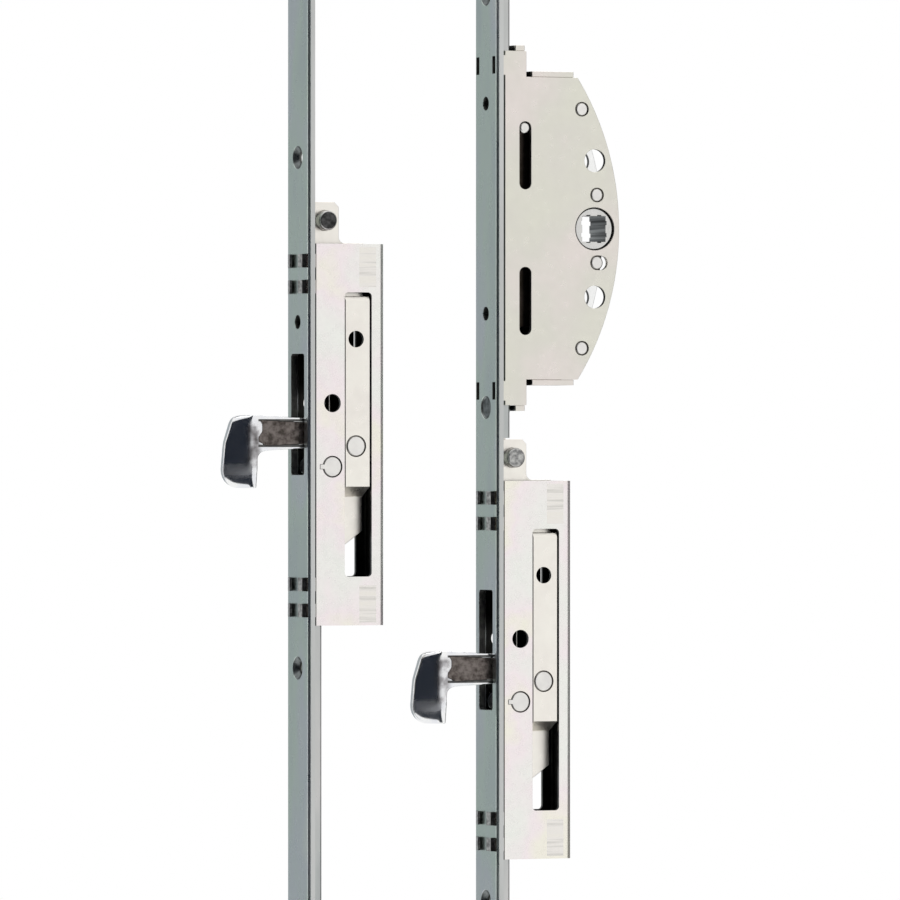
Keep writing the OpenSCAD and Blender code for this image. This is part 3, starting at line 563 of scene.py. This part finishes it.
# %% Zones of a hook case and its slider
# The case's hole walls are torn, and painted darker as shade
CASE_HOLES = zone(x=(3.5, 25), y=(5.3, 6.38), z=(-49.3, 69.3))
# The inside of the case and its front edges, where they stand off the forend, are painted
# nearly black as shade
CASE_INSIDE = zone(x=(2, 25.95), y=(MIDDLE, 5.36))
FRONT_EDGES = zone(x=(3.2, 3.48), y=(5.2, 6.6))
PRESS_MARKS = [zone(x=(18.2, 24), y=(6.46, 6.6), z=end) for end in ((56, 68.6), (-48.6, -37))]
# A tab shows in the forend's face: its end closed inwards, speckled and partly
# painted shade, and painted shade beside it
TAB_X = (-4, 0.02)
TAB_ENDS = zone(x=TAB_X, y=(MIDDLE, 5.3))
TAB_SIDE_SHADE = zone(x=TAB_X, y=(5.3, 7))
CASE_ZONES = [("punched", [CASE_HOLES]), ("greasy", [CASE_INSIDE, FRONT_EDGES]),
              ("pressed", PRESS_MARKS), ("mottled", [TAB_ENDS]), ("hammered", [TAB_SIDE_SHADE])]
# The slider's hole wall is torn, and painted darker as shade
SLIDER_HOLE = zone(x=(14.2, 20), y=(5.3, 6.38), z=(37, 42.6))
# The inside of the slider is painted nearly black as shade
SLIDER_INSIDE = zone(y=(MIDDLE, 5.36), z=(-6.1, 51.5))
SLIDER_ZONES = [("punched", [SLIDER_HOLE]), ("greasy", [SLIDER_INSIDE])]

# %% Zones of the gearbox's plates
PLATE_WALL = (5.2, 6.38)
PLATE_INSIDE = (MIDDLE, 5.24)
# The walls of the pin slots, the hub's hole and the screw holes are torn, and painted darker as
# shade
PIN_SLOTS = zone(x=(8.6, 12.8), y=PLATE_WALL, z=around(HUB_Z, 34))
HUB_HOLE = zone(x=(28, 42.5), y=PLATE_WALL, z=around(HUB_Z, 7))
SCREW_HOLES = [zone(x=(31, 39), y=PLATE_WALL, z=hole) for hole in beside_hub(17.6, 25.4)]
# Inside, the back of the gearbox is painted light round the screw holes, brighter
# than the plate, and painted nearly black as shade round the hub and at both ends
BACK_X = (28, 44)
# The front inside of the gearbox is painted nearly black as shade
FRONT_INSIDE = zone(x=(3, 28), y=PLATE_INSIDE)
HUB_INSIDE = zone(x=BACK_X, y=PLATE_INSIDE, z=around(HUB_Z, 13.5))
ENDS_INSIDE = [zone(x=BACK_X, y=PLATE_INSIDE, z=end) for end in beside_hub(29, 50)]
SCREWS_INSIDE = [zone(x=BACK_X, y=PLATE_INSIDE, z=screw) for screw in beside_hub(13.5, 29)]
PLATE_ZONES = [("punched", [PIN_SLOTS, HUB_HOLE] + SCREW_HOLES),
               ("greasy", [FRONT_INSIDE, HUB_INSIDE] + ENDS_INSIDE),
               ("wiped", SCREWS_INSIDE)]

# %% Zones of a hook
# The nose is ground bright and satin low down, and where it meets the arm it
# has painted glints and painted shade in patches. The arm's sunk panel has the
# casting's own skin, painted shade on its walls, and a painted shadow line along
# its upper and lower edge
LOW_NOSE = zone(x=(-50, -16), z=(-4.2, 2.4), fade=2.8)
NOSE_ROOT = zone(x=(-20.4, -13.6), z=(-1, 15), fade=2.4)
PANEL_X = (-15.4, 2.9)
PANEL_Z = (5.6, 15)
PANEL_FLOOR = zone(x=PANEL_X, y=(3.5, 3.9), z=PANEL_Z)
PANEL_WALLS = zone(x=PANEL_X, y=(3.9, 4.42), z=PANEL_Z)
PANEL_SHADOW_LINES = [zone(x=PANEL_X, y=(3.9, 4.6), z=line) for line in ((6.1, 6.9), (14.1, 14.8))]
HOOK_ZONES = [("satin", [LOW_NOSE]), ("unground", [NOSE_ROOT]), ("cast", [PANEL_FLOOR]),
              ("punched", PANEL_SHADOW_LINES + [PANEL_WALLS])]

# %% Zones of the small pieces
# The top length's guide pin end is the darker one, near black, and the main
# one's is speckled and partly painted shade
PIN_END = zone(y=(5.06, 6))
PIN_ZONES = {"main": [("mottled", [PIN_END])], "top": [("blackened", [PIN_END])]}
# A rivet's head has a bevelled rim just under its flat top, painted dark as shade
RIM_Y = (6, 6.46)
PIVOT_RIMS = zone(y=RIM_Y, z=(-5, 12))
GEARBOX_RIMS = zone(x=(28, 45), y=RIM_Y)
SQUARE_HOLE = zone(x=(30.3, 39.7), y=(MIDDLE, 5.6), z=around(HUB_Z, 4.7))
ZONES = {
    "forend": {length: forend_zones(length) for length in LENGTHS},
    "case_sheet": CASE_ZONES,
    "gearbox_plate": PLATE_ZONES,
    "slider": SLIDER_ZONES,
    "hook_casting": HOOK_ZONES,
    "guide_pin": PIN_ZONES,
    "rivet": [("bevelled", [PIVOT_RIMS, GEARBOX_RIMS])],
    "follower": [("broached", [SQUARE_HOLE])],
}
print("finishes with zones:", list(ZONES))

# %% [markdown]
# ## A finish for every piece
# The works plates forends, rails, gearboxes and cases apart, so each kind has
# its own cast: the forends green-grey, the gearbox warm, the cases nearly
# white with pink and yellow clouds. Turned parts are greyer, the rack is dark
# with grease, and the hooks are the glossiest, because their noses are ground.
# One recipe makes them all, and only the tints, the size of the clouds, the
# roughness and the grain change.

# %% The finishes
UPRIGHT_GRAIN = (1, 1, 0.3)
# Each has its tints, the size of its clouds in millimetres, and what differs
FINISHES = {
    "forend": ([(0.60, 0.67, 0.65), (0.64, 0.73, 0.66), (0.66, 0.70, 0.72),
                (0.73, 0.77, 0.73)], 24, {"rough": (0.26, 0.32), "grain": UPRIGHT_GRAIN}),
    "rail": ([(0.40, 0.42, 0.42), (0.48, 0.50, 0.49), (0.58, 0.58, 0.57)], 18,
             {"grain": UPRIGHT_GRAIN}),
    "gearbox_plate": ([(0.76, 0.75, 0.66), (0.75, 0.73, 0.66), (0.80, 0.74, 0.70)], 30, {}),
    "case_sheet": ([(0.87, 0.88, 0.83), (0.88, 0.86, 0.83), (0.91, 0.83, 0.84),
                    (0.90, 0.87, 0.77)], 24, {"rough": (0.24, 0.29)}),
    "slider": ([(0.90, 0.86, 0.80), (0.93, 0.90, 0.83)], 14, {}),
    "rivet": ([(0.79, 0.775, 0.75), (0.86, 0.845, 0.81)], 4, {}),
    "turned_steel": ([(0.50, 0.50, 0.50), (0.58, 0.58, 0.57)], 3, {}),
    "follower": ([(0.66, 0.66, 0.64), (0.72, 0.71, 0.69)], 3, {}),
    "rack": ([(0.05, 0.04, 0.03), (0.09, 0.07, 0.06)], 4, {"rough": (0.35, 0.5)}),
    "guide_pin": ([(0.55, 0.54, 0.53), (0.66, 0.65, 0.63)], 2, {}),
    "hook_casting": ([(0.80, 0.81, 0.84), (0.90, 0.90, 0.89)], 5, {"rough": (0.13, 0.19)}),
}
print("recipes:", len(FINISHES))

# %% Give each solid its finish
slots = {row["node"]: row["material_slot"] for row in frame["record"]["subparts"]}
made = {}


def finish_for(slot, length):
    if (slot, length) not in made:
        tints, cloud_mm, extra = FINISHES[slot]
        zones = ZONES.get(slot, ())
        zones = zones[length] if isinstance(zones, dict) else zones
        made[slot, length] = steel(f"{slot}_{length}", length, tints, cloud_mm,
                                   zones=zones, **extra)
    return made[slot, length]


for name, piece in nodes.items():
    finish = finish_for(slots[name], "top" if name.startswith("top") else "main")
    if not piece.material_slots:
        piece.data.materials.append(None)
    for place in piece.material_slots:
        place.material = finish
print("finishes:", len(made), "on", len(nodes), "solids")

# %% [markdown]
# ## The cast hooks
# The hook is an investment casting whose nose is ground by hand, so it has no
# sharp edge anywhere and its nose flows from one face into the next. Bevels
# can't follow that, because the nose's facets meet at many small edges. So a
# merged copy of the solid is remeshed into small even faces, and rounds of
# smoothing wear its edges down: a few on the arm, and many on the nose.

# %% Round a copy of each hook
# Points of the solid that lie closer than this are one point
SAME_POINT = 0.002 * MM
CAST_VOXEL = 0.25 * MM
ARM_ROUNDS = 2
NOSE_ROUNDS = 52
# A round moves each point half way to the middle of its neighbours
HALF_WAY = {"factor": 0.5, "use_axis_x": True, "use_axis_y": True, "use_axis_z": True}
# Where the nose begins, in millimetres from the forend's face
NOSE_X = -17.6


def remeshed(mesh):
    bm = bmesh.new()
    bm.from_mesh(mesh)
    bmesh.ops.remove_doubles(bm, verts=bm.verts, dist=SAME_POINT)
    merged = to_object(bm, "merged_solid")
    remesh = merged.modifiers.new("remesh", "REMESH")
    remesh.mode = "VOXEL"
    remesh.voxel_size = CAST_VOXEL
    graph = bpy.context.evaluated_depsgraph_get()
    even = bpy.data.meshes.new_from_object(merged.evaluated_get(graph))
    bpy.data.objects.remove(merged)
    return even


def cast_hook(length):
    bm = bmesh.new()
    bm.from_mesh(remeshed(nodes[length + "_hook"].data))
    nose = [v for v in bm.verts if v.co.x < (face_x[length] + NOSE_X) * MM]
    for verts, rounds in ((bm.verts, ARM_ROUNDS), (nose, NOSE_ROUNDS)):
        for _ in range(rounds):
            bmesh.ops.smooth_vert(bm, verts=verts, **HALF_WAY)
    for face in bm.faces:
        face.smooth = True
    hook = to_object(bm, length + "_hook_cast")
    hook.data.materials.append(finish_for("hook_casting", length))
    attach(hook, length + "_hook")
    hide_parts(length + "_hook")
    return hook


cast_hooks = [cast_hook(length) for length in LENGTHS]
print("castings:", [(hook.name, len(hook.data.polygons)) for hook in cast_hooks])

# %% [markdown]
# ## Lands of the hook cases
# A case is one sheet folded round its back, and its two front edges stand a
# little off the forend. Behind the hook's slot the far edge is left longer, as
# a land that seats on the forend, or daylight would show through the slot past
# the case. It is a thin strip, drawn as a flat outline and given its thickness
# by an extrusion, and its outer corners are rounded like the sheet's.

# %% Make the lands
# In millimetres from the face, the middle plane and the pivot
LAND_X = (2.4, 3.4)
LAND_Y = (5.3, 6.5)
LAND_Z = (-7, 40)
LAND_CORNER = 0.25
LAND_CORNER_STEPS = 3


def case_land(length):
    start = Vector((face_x[length], 0, pivot_z[length]))
    low, high = ((start + Vector(corner)) * MM for corner in zip(LAND_X, LAND_Y, LAND_Z))
    bm = bmesh.new()
    corners = [bm.verts.new((x, y, low.z)) for x, y in
               ((low.x, low.y), (high.x, low.y), (high.x, high.y), (low.x, high.y))]
    foot = bm.faces.new(corners)
    raised = bmesh.ops.extrude_face_region(bm, geom=[foot])["geom"]
    bmesh.ops.translate(bm, vec=(0, 0, high.z - low.z),
                        verts=[v for v in raised if isinstance(v, bmesh.types.BMVert)])
    outer = [e for e in bm.edges if all(v.co.y > (low.y + high.y) / 2 for v in e.verts)]
    bmesh.ops.bevel(bm, geom=outer, offset=LAND_CORNER * MM, segments=LAND_CORNER_STEPS,
                    profile=0.5, affect="EDGES", material=-1)
    bmesh.ops.recalc_face_normals(bm, faces=bm.faces)
    land = to_object(bm, length + "_case_land")
    land.data.materials.append(finish_for("case_sheet", length))
    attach(land, "frame")
    return land


lands = [case_land(length) for length in LENGTHS]
print("lands:", [(land.name, len(land.data.polygons)) for land in lands])

# %% [markdown]
# ## Broken edges
# A solid from CAD has razor edges, which never catch the light. Stamped sheet
# has a small round on each edge. The solid's triangles are loose, so a Weld
# modifier joins them first, Decimate clears the lines between triangles of one
# flat face, and Bevel then rounds only the true edges.

# %% Round the edges of the solids
# In millimetres, for every slot but the hooks', which are rounded already
EDGE_ROUND = {"forend": 0.12, "rail": 0.15, "gearbox_plate": 0.15, "case_sheet": 0.15,
              "slider": 0.15, "rivet": 0.15, "turned_steel": 0.12, "follower": 0.12,
              "rack": 0.12, "guide_pin": 0.2}
EDGE_STEPS = 2
FLAT_WITHIN = math.radians(0.5)
SHARP_FROM = math.radians(35)
sharp = [name for name in nodes if not name.endswith("_hook")]
for name in sharp:
    piece = nodes[name]
    weld = piece.modifiers.new("weld", "WELD")
    weld.merge_threshold = SAME_POINT
    flatten = piece.modifiers.new("flatten", "DECIMATE")
    flatten.decimate_type = "DISSOLVE"
    flatten.angle_limit = FLAT_WITHIN
    round_off = piece.modifiers.new("edges", "BEVEL")
    round_off.width = EDGE_ROUND[slots[name]] * MM
    round_off.segments = EDGE_STEPS
    round_off.limit_method = "ANGLE"
    round_off.angle_limit = SHARP_FROM
print("edges rounded on", len(sharp), "solids")
